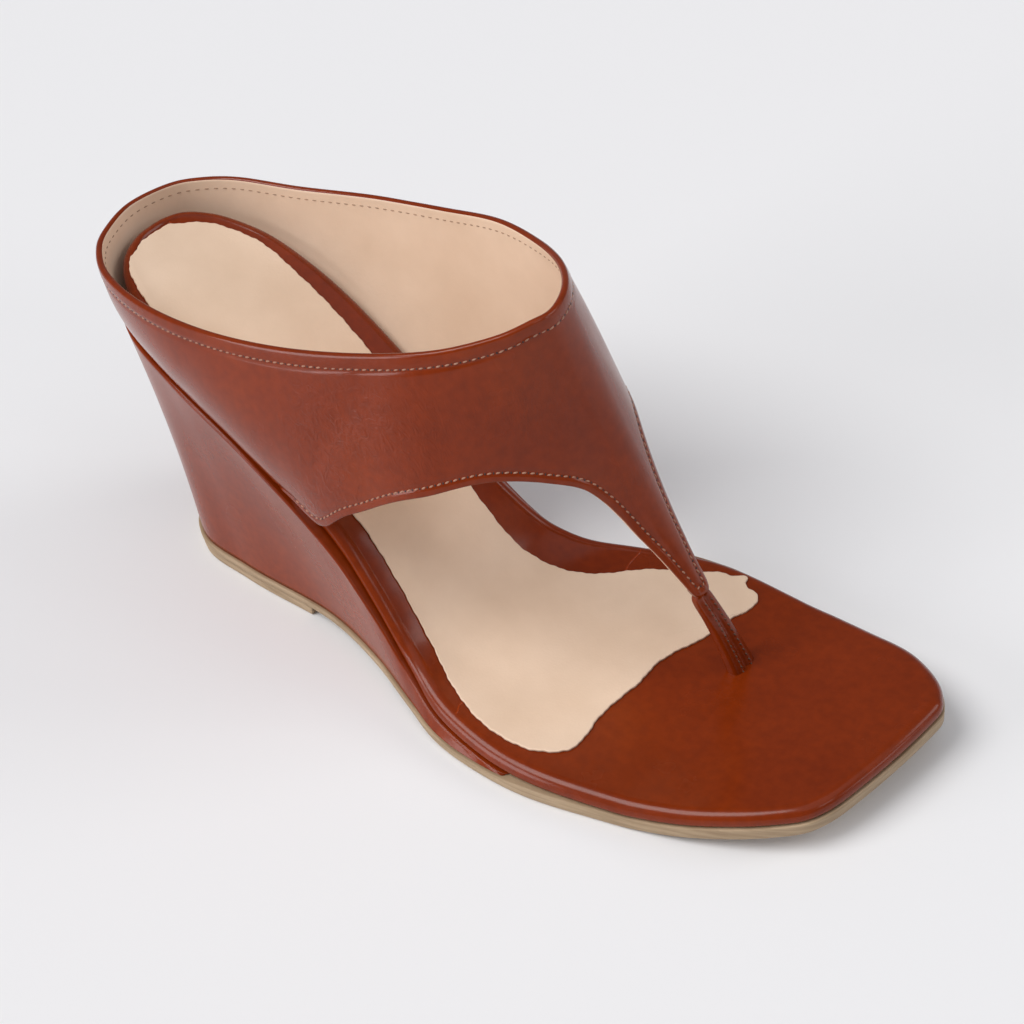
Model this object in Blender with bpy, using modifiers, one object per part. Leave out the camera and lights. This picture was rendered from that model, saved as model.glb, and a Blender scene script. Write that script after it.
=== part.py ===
# Right shoe of a pair of wedge mules with a toe post: tan outsole and heel lift, leather
# covered wedge and footbed, beige sock, and a leather upper that ends in a tab on the post.
# X runs to the toe, Y to the inner side of the foot and Z up. The origin is the middle of
# the heel lift's tread, on the floor. All sizes are in metres.

import bpy
import numpy as np

# Driving sizes of the last
FOOT_LENGTH = 0.240          # footbed in plan, from heel back to toe
BALL_WIDTH = 0.0935          # sole across the ball
HEEL_HEIGHT = 0.0887         # footbed's edge above the floor at the heel back
INSTEP_HEIGHT = 0.113        # collar above the floor at its front
BACK_RISE = 0.004            # collar above the footbed at the heel back

# Sole
LIFT_THICKNESS = 0.0030      # tan lift under the heel
WAIST_SHEET = 0.0022         # outsole at heel and waist
FORE_SHEET = 0.0038          # outsole under the forepart
ARCH_LIFT = 0.0008
TOE_SPRING = 0.0090
SOLE_PROUD = 0.0004          # how far the tan sheet stands out past the leather above it
SOLE_ROUND = 0.0008

# Footbed, wedge and sock
FOOTBED_FORE = 0.0042        # footbed's thickness in the forepart
FOOTBED_HEEL = 0.0155        # and at the heel, where the board is built up
FOOTBED_ROUND = 0.0024
CUP_DEPTH = 0.0022
TOE_BOW = 0.0010             # how far the square toe's front edge bows out
LEDGE = 0.0006               # lip of the wedge past the leather that stands on it
WEDGE_HOLLOW = 0.0014        # how far the wedge's sides draw in at half height
SOCK_THICKNESS = 0.0008
SOCK_CLEAR = 0.0005          # clearance under it, over the footbed's hollow
SOCK_SAG = 0.0036            # how far the sock's front edge sags back between its ends

# Upper and toe post
WALL = 0.0017                # leather and lining together
BULGE = 0.0040               # how far the shell swells between its edges
POST_WIDTH = 0.0078          # across the foot, at the footbed
POST_DEPTH = 0.0042
POST_TAPER = (0.65, 0.70, 0.76, 0.84, 0.94, 1.0, 1.0)
POST_BOW = 0.0006            # how far it bows forward
POST_DROP = 0.010            # share of the upper's height between the tab's end and the post
TAB_END = 0.240              # height of the tab's end, as a share of the upper's
POST_PLACE = 0.16            # how far past the upper's front section the post hangs
POST_SINK = 0.0025           # how deep the post goes into the footbed
TAB_REACH = 0.0071           # how far ahead of the post the tab's line aims
POST_ALONG = 0.777           # post on the footbed, as shares of length and ball width
POST_OUT = 0.176

GAP = 0.0003                 # clearance between pieces that touch on the real shoe
STEPS = 4                    # stations made between two rows of a table
ACROSS = 6                   # cells across the foot
FREE_COLUMNS = 72            # columns of the upper above its free lower edge
SEATED_COLUMNS = 40          # and where it stands on the wedge
SHELL_ROWS = 10

LEATHER = (0.19, 0.05, 0.02)
BEIGE = (0.73, 0.58, 0.43)
TAN = (0.50, 0.36, 0.21)


def columns(names, rows):
    """Short table as a dictionary from a column's name to its numbers."""
    return dict(zip(names.split(), np.array(rows, float).T))


# Footbed's edge, a row for each section across the foot, as shares of FOOT_LENGTH and of
# BALL_WIDTH. The two sides have their own place along the foot, so the toe can be oblique.
FOOTBED_EDGE = columns("outer_along outer_out inner_along inner_out", [
    (0.002, 0.043, 0.001, 0.043),      # heel back
    (0.013, 0.117, 0.010, 0.118),
    (0.032, 0.175, 0.037, 0.182),
    (0.060, 0.222, 0.079, 0.225),
    (0.146, 0.289, 0.167, 0.248),      # heel
    (0.283, 0.332, 0.312, 0.235),
    (0.417, 0.350, 0.437, 0.219),      # waist
    (0.492, 0.390, 0.508, 0.295),
    (0.554, 0.449, 0.575, 0.402),
    (0.658, 0.478, 0.658, 0.488),      # ball
    (0.767, 0.433, 0.767, 0.496),
    (0.871, 0.348, 0.867, 0.474),
    (0.937, 0.257, 0.942, 0.428),      # toe corners
    (0.965, 0.198, 0.983, 0.355),
    (0.977, 0.135, 1.000, 0.290),      # ends of the front edge
])

# Sole's edge from the heel to the ball. From there on it follows the footbed.
SOLE_EDGE = columns("outer_along outer_out inner_along inner_out", [
    (0.062, 0.053, 0.062, 0.043),      # heel back
    (0.069, 0.143, 0.067, 0.123),
    (0.084, 0.221, 0.083, 0.203),
    (0.119, 0.286, 0.117, 0.262),
    (0.200, 0.311, 0.187, 0.272),      # heel
    (0.340, 0.316, 0.292, 0.246),
    (0.433, 0.369, 0.408, 0.251),      # waist
    (0.504, 0.433, 0.504, 0.353),
    (0.562, 0.481, 0.583, 0.476),
    (0.658, 0.492, 0.658, 0.520),      # ball
])
LIFT_END = 4.75              # section of the sole where the heel lift stops
WEDGE_END = 9.00             # section where the wedge has run out

# Sock's edge
SOCK_EDGE = columns("outer_along outer_out inner_along inner_out", [
    (0.020, 0.060, 0.020, 0.040),      # heel back
    (0.040, 0.160, 0.050, 0.130),
    (0.075, 0.212, 0.095, 0.175),
    (0.160, 0.262, 0.175, 0.175),
    (0.285, 0.280, 0.300, 0.145),
    (0.405, 0.254, 0.405, 0.115),      # waist
    (0.490, 0.297, 0.490, 0.130),
    (0.555, 0.372, 0.563, 0.216),
    (0.605, 0.411, 0.612, 0.337),
    (0.650, 0.413, 0.655, 0.405),
    (0.690, 0.378, 0.700, 0.455),
    (0.703, 0.330, 0.732, 0.440),      # ends of the front edge
])

# Heights along the foot. along: share of FOOT_LENGTH. rise: of the footbed, from forepart to
# heel. deep: of the heel's extra board. heel: of the lift under the outsole. arch: of
# ARCH_LIFT. spring: of TOE_SPRING. fore: from waist sheet to forepart sheet. cup: of CUP_DEPTH.
PROFILE = columns("along rise deep heel arch spring fore cup", [
    (0.000, 1.000, 1.00, 1.00, 0.00, 0.00, 0.00, 0.20),
    (0.070, 0.950, 0.84, 1.00, 0.00, 0.00, 0.00, 0.60),
    (0.146, 0.885, 0.62, 1.00, 0.00, 0.00, 0.00, 0.80),
    (0.208, 0.807, 0.40, 1.00, 0.00, 0.00, 0.00, 0.80),
    (0.271, 0.707, 0.22, 1.00, 0.00, 0.00, 0.00, 0.90),
    (0.333, 0.584, 0.08, 1.00, 0.00, 0.00, 0.00, 1.00),
    (0.396, 0.428, 0.02, 0.80, 0.60, 0.00, 0.00, 1.00),
    (0.446, 0.262, 0.00, 0.55, 1.00, 0.00, 0.00, 1.00),
    (0.496, 0.108, 0.00, 0.30, 0.80, 0.00, 0.06, 0.90),
    (0.542, 0.040, 0.00, 0.12, 0.40, 0.00, 0.14, 0.60),
    (0.592, 0.014, 0.00, 0.00, 0.00, 0.00, 0.26, 0.30),
    (0.650, 0.000, 0.00, 0.00, 0.00, 0.00, 0.55, 0.20),
    (0.690, 0.000, 0.00, 0.00, 0.00, 0.00, 1.00, 0.20),
    (0.780, 0.000, 0.00, 0.00, 0.00, 0.00, 1.00, 0.10),
    (0.830, 0.000, 0.00, 0.00, 0.00, 0.12, 1.00, 0.05),
    (0.896, 0.000, 0.00, 0.00, 0.00, 0.43, 1.00, 0.00),
    (1.000, 0.000, 0.00, 0.00, 0.00, 1.00, 1.00, 0.00),
])

# Sections of the upper from heel back to instep. along, out and up place the collar: shares
# of FOOT_LENGTH, of BALL_WIDTH and of the climb from BACK_RISE to INSTEP_HEIGHT. foot is the
# footbed's section below it, to_post how far its foot has moved to the toe post, and swell
# the share of BULGE.
UPPER_BACK = (-0.021, 0.000, 0.000, 0.0, 0.00, 0.10)
UPPER_OUTER = [
    (-0.008, 0.118, 0.000, 1.00, 0.00, 0.10),
    (0.017, 0.214, 0.005, 2.10, 0.00, 0.15),
    (0.067, 0.299, 0.025, 3.25, 0.00, 0.30),
    (0.150, 0.353, 0.075, 4.15, 0.00, 0.50),
    (0.250, 0.364, 0.170, 4.90, 0.00, 0.80),
    (0.350, 0.337, 0.310, 5.60, 0.00, 1.00),
    (0.446, 0.283, 0.510, 6.40, 0.00, 1.00),
    (0.529, 0.209, 0.730, 7.60, 0.12, 0.90),
    (0.579, 0.112, 0.880, 8.80, 0.51, -0.54),
    (0.602, 0.032, 0.985, 10.00, 0.82, -1.76),
]
UPPER_FRONT = (0.608, -0.043, 1.000, 10.00, 1.00, -1.53)
UPPER_INNER = [
    (-0.012, 0.128, 0.000, 1.00, 0.00, 0.10),
    (0.010, 0.206, 0.000, 2.00, 0.00, 0.15),
    (0.052, 0.276, 0.000, 2.90, 0.00, 0.30),
    (0.133, 0.332, 0.025, 3.85, 0.00, 0.50),
    (0.233, 0.385, 0.150, 4.60, 0.00, 0.80),
    (0.333, 0.406, 0.310, 5.30, 0.00, 1.00),
    (0.421, 0.385, 0.560, 6.00, 0.00, 1.00),
    (0.496, 0.326, 0.730, 7.00, 0.10, 1.10),
    (0.554, 0.241, 0.910, 8.20, 0.38, 0.88),
    (0.592, 0.144, 1.000, 9.00, 0.78, -0.66),
]

# Upper's free lower edge, from the outer side over the instep to the inner side. place
# counts the upper's sections round the shell, and height is the share of the way from foot
# to collar.
LOWER_EDGE = columns("place height", [
    (5.62, 0.000),       # outer side, on the wedge
    (6.20, 0.130),
    (7.00, 0.440),
    (7.80, 0.620),
    (8.42, 0.668),       # outer opening's top
    (9.00, 0.640),
    (9.46, 0.594),
    (9.66, 0.548),
    (9.80, 0.500),
    (9.97, 0.428),
    (10.17, 0.368),
    (10.40, 0.304),
    (10.62, 0.260),      # tab's end
    (11.16, TAB_END),
    (11.76, 0.248),
    (11.84, 0.286),
    (11.91, 0.320),
    (12.00, 0.354),
    (12.07, 0.398),
    (12.16, 0.450),
    (12.26, 0.504),
    (12.40, 0.558),
    (12.58, 0.598),
    (12.86, 0.620),      # inner opening's top
    (13.30, 0.622),
    (13.76, 0.570),
    (14.45, 0.440),
    (15.20, 0.180),
    (15.62, 0.000),      # inner side, on the wedge
])


def limited_slopes(knots, values):
    """Slopes that keep a curve between its neighbouring values, and flat where it is flat."""
    steps = np.diff(values, axis=0) / np.diff(knots)[:, None]
    before = steps[:-1]
    after = steps[1:]
    same = before * after > 0
    total = np.where(same, before + after, 1.0)
    slopes = np.zeros_like(values)
    slopes[1:-1] = np.where(same, 2.0 * before * after / total, 0.0)
    slopes[0] = steps[0]
    slopes[-1] = steps[-1]
    return slopes


def smooth(knots, values, at, limited=False):
    """Cubic curve through the rows of values at the given knots."""
    values = np.asarray(values, float).reshape(len(knots), -1)
    slopes = limited_slopes(knots, values) if limited else np.gradient(values, knots, axis=0)
    at = np.clip(np.asarray(at, float), knots[0], knots[-1])
    low = np.clip(np.searchsorted(knots, at, side="right") - 1, 0, len(knots) - 2)
    width = knots[low + 1] - knots[low]
    t = ((at - knots[low]) / width)[..., None]
    width = width[..., None]
    start = (2 * t - 3) * t * t + 1
    return (start * values[low] + (1 - start) * values[low + 1]
            + ((t - 2) * t + 1) * t * width * slopes[low] + (t - 1) * t * t * width * slopes[low + 1])


def profile(name, along):
    """Column of PROFILE at a place given in metres from the heel back."""
    return smooth(PROFILE["along"], PROFILE[name], np.asarray(along) / FOOT_LENGTH, limited=True)[..., 0]


TREAD_STACK = FORE_SHEET + GAP + FOOTBED_FORE


def sole_low(along):
    return (profile("heel", along) * (LIFT_THICKNESS + GAP) + profile("arch", along) * ARCH_LIFT
            + profile("spring", along) * TOE_SPRING)


def sole_top(along):
    return sole_low(along) + WAIST_SHEET + profile("fore", along) * (FORE_SHEET - WAIST_SHEET)


def footbed_top(along):
    return (TREAD_STACK + profile("spring", along) * TOE_SPRING
            + profile("rise", along) * (HEEL_HEIGHT - TREAD_STACK))


def footbed_low(along):
    return footbed_top(along) - FOOTBED_FORE - profile("deep", along) * (FOOTBED_HEEL - FOOTBED_FORE)


def full_table(edge):
    """A table that stops at the ball, carried on to the toe with the footbed's rows."""
    rear = len(edge["outer_along"])
    return {name: np.append(edge[name], FOOTBED_EDGE[name][rear:]) for name in edge}


def edge_points(edge, sections):
    """Outer and inner edge in plan at the given section numbers."""
    outer = np.column_stack([edge["outer_along"] * FOOT_LENGTH, -edge["outer_out"] * BALL_WIDTH])
    inner = np.column_stack([edge["inner_along"] * FOOT_LENGTH, edge["inner_out"] * BALL_WIDTH])
    both = np.hstack([outer, inner])
    length = np.linalg.norm(np.diff(outer, axis=0), axis=1) + np.linalg.norm(np.diff(inner, axis=0), axis=1)
    knots = np.append(0.0, np.cumsum(length))
    at = np.interp(sections, np.arange(len(knots)), knots)
    points = smooth(knots, both, at)
    return points[..., :2], points[..., 2:]


def stations(first, last):
    return np.linspace(first, last, int(round((last - first) * STEPS)) + 1)


def ring(edge, sections, bow=0.0):
    """Closed outline in plan, counted from the heel's outer side round the toe."""
    outer, inner = edge_points(edge, sections)
    t = np.arange(1, ACROSS)[:, None] / ACROSS
    front = outer[-1] * (1 - t) + inner[-1] * t
    front[:, :1] += bow * 4 * t * (1 - t)
    back = inner[0] * (1 - t) + outer[0] * t
    return np.vstack([outer, front, inner[::-1], back])


def outset(points, distance):
    """Closed outline moved out along its own normals."""
    run = np.roll(points, -1, axis=0) - np.roll(points, 1, axis=0)
    run /= np.linalg.norm(run, axis=1)[:, None]
    return points + np.column_stack([run[:, 1], -run[:, 0]]) * np.reshape(distance, (-1, 1))


def cap_cells(count, first, extra):
    """Vertex numbers of the grid that closes a ring of count stations a side."""
    cells = np.zeros((count, ACROSS + 1), int)
    cells[:, 0] = first + np.arange(count)
    cells[:, -1] = first + count + ACROSS - 1 + np.arange(count)[::-1]
    cells[-1, 1:-1] = first + count + np.arange(ACROSS - 1)
    cells[0, 1:-1] = first + 2 * count + ACROSS - 1 + np.arange(ACROSS - 1)[::-1]
    cells[1:-1, 1:-1] = extra + np.arange((count - 2) * (ACROSS - 1)).reshape(count - 2, -1)
    return cells


def quads(cells):
    """Faces of a grid of vertex numbers, facing up when rows run forward and columns inward."""
    return np.stack([cells[:-1, :-1], cells[1:, :-1], cells[1:, 1:], cells[:-1, 1:]], -1).reshape(-1, 4)


def stack(name, rings, count, low_height, high_height, cup=0.0):
    """Solid of stacked rings, closed below and above by grids whose heights follow the foot."""
    around = len(rings[0])
    points = [np.asarray(r, float) for r in rings]
    faces = []
    index = np.arange(around)
    for level in range(len(rings) - 1):
        low = level * around + index
        high = low + around
        faces.append(np.stack([low, np.roll(low, -1), np.roll(high, -1), high], -1))
    extra = around * len(rings)
    for level, height, sign in ((0, low_height, -1), (len(rings) - 1, high_height, 1)):
        outline = points[level]
        cells = cap_cells(count, level * around, extra)
        t = (np.arange(1, ACROSS) / ACROSS)[None, :, None]
        outer = outline[1:count - 1, None, :2]
        inner = outline[count + ACROSS - 1:2 * count + ACROSS - 1][::-1][1:-1, None, :2]
        inside = outer * (1 - t) + inner * t
        up = height(inside[..., 0])
        if sign > 0:
            up = up - cup * profile("cup", inside[..., 0]) * (1 - (2 * t[..., 0] - 1) ** 4)
        points.append(np.dstack([inside, up]).reshape(-1, 3))
        extra += (count - 2) * (ACROSS - 1)
        faces.append(quads(cells)[:, ::sign])
    return new_object(name, np.vstack(points), np.vstack(faces))


def raised(outline, height):
    return np.column_stack([outline, height(outline[:, 0])])


def new_object(name, points, faces):
    """Mesh object of points counted from the heel back, set on the tread's origin."""
    points = points - np.array([HEEL_TREAD, 0.0, 0.0])
    mesh = bpy.data.meshes.new(name)
    mesh.from_pydata(points.tolist(), [], [list(face) for face in faces])
    mesh.shade_smooth()
    mesh.set_sharp_from_angle(angle=0.6)
    made = bpy.data.objects.new(name, mesh)
    parts.objects.link(made)
    return made


def paint(target, color, roughness):
    finish = bpy.data.materials.new(target.name)
    finish.use_nodes = True
    shader = finish.node_tree.nodes["Principled BSDF"]
    shader.inputs["Base Color"].default_value = (*color, 1.0)
    shader.inputs["Roughness"].default_value = roughness
    shader.inputs["Metallic"].default_value = 0.0
    target.data.materials.append(finish)


SOLE = full_table(SOLE_EDGE)
FOOT_END = len(FOOTBED_EDGE["outer_along"]) - 1.0
LIFT_MIDDLE = edge_points(SOLE, np.array([0.0, LIFT_END]))[0][:, 0]
HEEL_TREAD = LIFT_MIDDLE.mean()


def heel_lift():
    sections = stations(0.0, LIFT_END)
    outline = ring(SOLE, sections)
    low = raised(outset(outline, -SOLE_ROUND), lambda x: 0.0 * x)
    side = raised(outline, lambda x: 0.0 * x + SOLE_ROUND)
    top = raised(outline, lambda x: 0.0 * x + LIFT_THICKNESS)
    made = stack("heel_lift", [low, side, top], len(sections), lambda x: 0.0 * x,
                 lambda x: 0.0 * x + LIFT_THICKNESS)
    paint(made, TAN, 0.75)


def outsole():
    sections = stations(0.0, FOOT_END)
    outline = outset(ring(SOLE, sections, TOE_BOW), SOLE_PROUD)
    rings = [raised(outset(outline, -SOLE_ROUND), sole_low),
             raised(outline, lambda x: sole_low(x) + SOLE_ROUND),
             raised(outline, sole_top)]
    made = stack("outsole", rings, len(sections), sole_low, sole_top)
    paint(made, TAN, 0.75)


def ledge_width(sections):
    """How far the wedge's top reaches past the footbed: under the upper's wall, then less."""
    covered = np.interp(sections, [0.0, 5.6, 6.6, WEDGE_END], [1.0, 1.0, 0.4, 0.0])
    return GAP + covered * (WALL + GAP) + LEDGE * np.interp(sections, [6.6, WEDGE_END], [1.0, 0.3])


def around_ring(values):
    """Values of the stations laid round a ring, the same on both sides."""
    return np.concatenate([values, np.full(ACROSS - 1, values[-1]), values[::-1],
                           np.full(ACROSS - 1, values[0])])


def wedge():
    sections = stations(0.0, WEDGE_END)
    ledge = around_ring(ledge_width(sections))
    under = outset(ring(SOLE, sections), -SOLE_PROUD)
    over = outset(ring(FOOTBED_EDGE, sections), ledge)
    low = raised(under, lambda x: sole_top(x) + GAP)
    high = raised(over, lambda x: footbed_low(x) - GAP)
    rings = []
    for share in (0.0, 0.25, 0.5, 0.75, 0.94, 1.0):
        level = low * (1 - share) + high * share
        if 0.0 < share < 1.0:
            hollow = 4 * share * (1 - share) * WEDGE_HOLLOW * np.clip((high - low)[:, 2] / HEEL_HEIGHT, 0, 1)
            level[:, :2] = outset(level[:, :2], -hollow)
        rings.append(level)
    made = stack("wedge", rings, len(sections), lambda x: sole_top(x) + GAP, lambda x: footbed_low(x) - GAP)
    paint(made, LEATHER, 0.35)


def footbed():
    sections = stations(0.0, FOOT_END)
    outline = ring(FOOTBED_EDGE, sections, TOE_BOW)
    rings = [raised(outset(outline, -0.4 * FOOTBED_ROUND), footbed_low),
             raised(outline, lambda x: footbed_low(x) + 0.4 * FOOTBED_ROUND)]
    for turn in np.radians([0.0, 30.0, 60.0, 90.0]):
        inward = FOOTBED_ROUND * (1 - np.cos(turn))
        down = FOOTBED_ROUND * (1 - np.sin(turn))
        rings.append(raised(outset(outline, -inward), lambda x: footbed_top(x) - down))
    made = stack("footbed", rings, len(sections), footbed_low, footbed_top, CUP_DEPTH)
    cut_slot(made)
    paint(made, LEATHER, 0.35)


def bed_surface(points):
    """Height of the footbed's cupped top at points in plan."""
    sections = np.linspace(0.0, FOOT_END, 241)
    outer, inner = edge_points(FOOTBED_EDGE, sections)
    middle = (outer[:, 0] + inner[:, 0]) / 2
    low = np.interp(points[..., 0], middle, outer[:, 1]) + FOOTBED_ROUND
    high = np.interp(points[..., 0], middle, inner[:, 1]) - FOOTBED_ROUND
    t = np.clip((points[..., 1] - low) / (high - low), 0.0, 1.0)
    along = points[..., 0]
    return footbed_top(along) - CUP_DEPTH * profile("cup", along) * (1 - (2 * t - 1) ** 4)


def sock():
    last = len(SOCK_EDGE["outer_along"]) - 1.0
    sections = stations(0.0, last)
    count = len(sections)
    outline = ring(SOCK_EDGE, sections, -SOCK_SAG)
    cells = cap_cells(count, 0, len(outline))
    t = (np.arange(1, ACROSS) / ACROSS)[None, :, None]
    outer = outline[1:count - 1, None]
    inner = outline[count + ACROSS - 1:2 * count + ACROSS - 1][::-1][1:-1, None]
    inside = outer * (1 - t) + inner * t
    forward = np.linspace(0.0, 1.0, count)[1:-1, None] ** 6
    inside[..., 0] -= SOCK_SAG * forward * 4 * t[..., 0] * (1 - t[..., 0])
    plan = np.vstack([outline, inside.reshape(-1, 2)])
    points = np.column_stack([plan, bed_surface(plan) + SOCK_CLEAR])
    made = new_object("sock", points, quads(cells))
    sheet = made.modifiers.new("thickness", "SOLIDIFY")
    sheet.thickness = SOCK_THICKNESS
    sheet.offset = 1.0
    paint(made, BEIGE, 0.6)


def post_base():
    along = POST_ALONG * FOOT_LENGTH
    return np.array([along, POST_OUT * BALL_WIDTH, footbed_top(along)])


def upper_rows():
    """Collar point, foot point and swell of each section, once round the shell."""
    lateral = [(a, -o, u, f, p, s) for a, o, u, f, p, s in UPPER_OUTER]
    front = [(UPPER_FRONT[0], -UPPER_FRONT[1], *UPPER_FRONT[2:])]
    rows = [UPPER_BACK] + lateral + front + UPPER_INNER[::-1]
    along, out, up, foot, to_post, swell = np.array(rows).T
    back = HEEL_HEIGHT + BACK_RISE
    collar = np.column_stack([along * FOOT_LENGTH, out * BALL_WIDTH, back + up * (INSTEP_HEIGHT - back)])
    outer, inner = edge_points(FOOTBED_EDGE, foot)
    side = np.where((np.arange(len(rows)) <= len(UPPER_OUTER) + 1)[:, None], outer, inner)
    side[0] = (outer[0] + inner[0]) / 2
    reach = GAP + WALL
    run = np.gradient(np.vstack([side[-1:], side, side[:1]]), axis=0)[1:-1]
    run /= np.linalg.norm(run, axis=1)[:, None]
    side = side + np.column_stack([run[:, 1], -run[:, 0]]) * reach
    base = np.column_stack([side, footbed_low(side[:, 0]) + 0.3 * WALL])
    aim = post_base() + np.array([TAB_REACH, 0.0, 0.0])
    base = base * (1 - to_post[:, None]) + aim * to_post[:, None]
    return collar, base, swell


def closed_curve(values, places):
    """Smooth closed curve through rows numbered 0, 1, 2 and so on."""
    count = len(values)
    lap = np.vstack([values[-3:], values, values[:4]])
    return smooth(np.arange(-3.0, count + 4.0), lap, np.mod(places, count))


def shell_point(place, height):
    """Outer face of the upper at a place round the shell and a share of its height."""
    collar, base, swell = upper_rows()
    top = closed_curve(collar, place)
    low = closed_curve(base, place)
    out = closed_curve(swell[:, None], place)
    ahead = closed_curve(collar, place + 0.5) + closed_curve(base, place + 0.5)
    behind = closed_curve(collar, place - 0.5) + closed_curve(base, place - 0.5)
    normal = np.cross(ahead - behind, top - low)
    normal /= np.linalg.norm(normal, axis=-1)[..., None]
    height = height[..., None]
    return low * (1 - height) + top * height + normal * out * BULGE * 4 * height * (1 - height)


def lower_edge():
    """Place and height of each column, once round from the outer side's start."""
    rows = np.column_stack([LOWER_EDGE["place"], LOWER_EDGE["height"]])
    scaled = rows * np.array([1.0, 6.0])
    knots = np.append(0.0, np.cumsum(np.linalg.norm(np.diff(scaled, axis=0), axis=1)))
    free = smooth(knots, rows, np.linspace(0.0, knots[-1], FREE_COLUMNS + 1))
    count = 2 + len(UPPER_OUTER) + len(UPPER_INNER)
    seated = np.linspace(rows[-1, 0], rows[0, 0] + count, SEATED_COLUMNS + 1)[1:-1]
    return np.vstack([free, np.column_stack([seated, 0.0 * seated])])


def upper():
    edge = lower_edge()
    low = np.maximum(edge[:, 1], 0.0)
    t = np.linspace(0.0, 1.0, SHELL_ROWS + 1)[:, None]
    points = shell_point(edge[:, 0] + 0.0 * t, low * (1 - t) + t)
    count = len(edge)
    cells = np.arange(points.shape[0] * count).reshape(-1, count)
    cells = np.hstack([cells, cells[:, :1]])
    made = new_object("upper", points.reshape(-1, 3), quads(cells.T))
    shell = made.modifiers.new("wall", "SOLIDIFY")
    shell.thickness = WALL
    shell.offset = -1.0
    shell.use_quality_normals = True
    paint(made, LEATHER, 0.35)


def post_line():
    """Middle of the post, from just under the tab's end down into its slot."""
    front = 1.0 + len(UPPER_OUTER) + POST_PLACE
    hang = shell_point(np.full(2, front), TAB_END - POST_DROP - np.array([0.0, 0.04]))
    inward = np.cross(hang[0] - hang[1], np.array([0.0, 1.0, 0.0]))
    inward /= np.linalg.norm(inward)
    top = hang[0] + inward * (GAP + POST_TAPER[0] * POST_DEPTH / 2)
    foot = post_base()
    t = np.linspace(0.0, 1.0, 5)[:, None]
    free = top * (1 - t) + foot * t - inward * POST_BOW * 4 * t * (1 - t)
    slot = foot - np.array([0.0, 0.0, 1.0]) * np.array([0.5, 1.0])[:, None] * POST_SINK
    return np.vstack([free, slot])


def toe_post():
    line = post_line()
    tangent = np.gradient(line, axis=0)
    tangent[-2:] = [0.0, 0.0, -1.0]
    side = np.array([0.0, 1.0, 0.0])
    ahead = np.cross(tangent, side)
    ahead /= np.linalg.norm(ahead, axis=1)[:, None]
    turn = np.radians(np.arange(0, 360, 30))[:, None]
    square = (np.abs(np.cos(turn)) ** 4 + np.abs(np.sin(turn)) ** 4) ** -0.25
    rings = []
    for middle, way, taper in zip(line, ahead, POST_TAPER):
        offset = np.cos(turn) * way * POST_DEPTH / 2 + np.sin(turn) * side * POST_WIDTH / 2
        rings.append(middle + taper * square * offset)
    rings = np.array(rings)
    around = rings.shape[1]
    cells = np.arange(len(rings) * around).reshape(-1, around)
    ends = [cells[0].tolist(), cells[-1, ::-1].tolist()]
    cells = np.hstack([cells, cells[:, :1]])
    made = new_object("toe_post", rings.reshape(-1, 3), quads(cells).tolist() + ends)
    paint(made, LEATHER, 0.35)


def cut_slot(target):
    """Oval pocket in the footbed that the post stands in."""
    base = post_base()
    bpy.ops.mesh.primitive_cylinder_add(vertices=24, radius=0.5, depth=2 * POST_SINK + 2 * GAP,
                                        location=(base[0] - HEEL_TREAD, base[1], base[2]))
    cutter = bpy.context.object
    cutter.name = "slot_cutter"
    cutter.scale = (POST_DEPTH * 1.2 + 4 * GAP, POST_WIDTH * 1.2 + 4 * GAP, 1.0)
    for holder in cutter.users_collection:
        holder.objects.unlink(cutter)
    tools.objects.link(cutter)
    cutter.hide_render = True
    cutter.display_type = "WIRE"
    cut = target.modifiers.new("slot", "BOOLEAN")
    cut.operation = "DIFFERENCE"
    cut.object = cutter


for old in list(bpy.data.objects):
    bpy.data.objects.remove(old, do_unlink=True)
parts = bpy.data.collections.new("wedge_mule")
tools = bpy.data.collections.new("cutters")
bpy.context.scene.collection.children.link(parts)
bpy.context.scene.collection.children.link(tools)

heel_lift()
outsole()
wedge()
footbed()
sock()
upper()
toe_post()
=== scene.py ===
# Right shoe of a pair of wedge mules: tan sole and heel lift, leather covered wedge and footbed,
# beige sock, and a leather upper whose tab is stitched to a toe post.
# Metres. X runs to the toe, Y to the inner side of the foot, Z up from the floor.

import bmesh
import bpy
import numpy as np
from mathutils import Matrix, Vector


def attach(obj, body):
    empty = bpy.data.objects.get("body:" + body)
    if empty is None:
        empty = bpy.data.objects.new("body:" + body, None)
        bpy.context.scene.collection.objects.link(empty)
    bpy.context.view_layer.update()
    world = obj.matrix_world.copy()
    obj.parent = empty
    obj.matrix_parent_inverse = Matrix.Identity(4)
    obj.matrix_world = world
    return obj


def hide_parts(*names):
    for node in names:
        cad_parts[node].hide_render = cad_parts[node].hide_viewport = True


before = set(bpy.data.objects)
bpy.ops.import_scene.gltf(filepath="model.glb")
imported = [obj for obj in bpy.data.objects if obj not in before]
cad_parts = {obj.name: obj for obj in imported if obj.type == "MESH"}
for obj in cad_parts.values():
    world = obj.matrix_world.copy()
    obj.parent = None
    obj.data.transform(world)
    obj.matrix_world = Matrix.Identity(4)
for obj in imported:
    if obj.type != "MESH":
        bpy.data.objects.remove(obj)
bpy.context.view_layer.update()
print("stage: frame loaded")

# Sizes in metres, as the construction has them, apart from the footbed's rim, which is rounder here.
# liftEnd is the section of the sole's edge where the heel lift stops.
shoe = {
    "length": 0.240, "ballWidth": 0.0935, "heelHeight": 0.0887, "instepHeight": 0.113,
    "backRise": 0.004, "liftThick": 0.003, "waistSheet": 0.0022, "foreSheet": 0.0038,
    "archLift": 0.0008, "toeSpring": 0.009, "bedFore": 0.0042, "bedHeel": 0.0155,
    "bedRound": 0.0032, "bedLowRound": 0.0009, "cup": 0.0022, "toeBow": 0.001, "gap": 0.0003,
    "liftEnd": 4.75,
}


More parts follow.
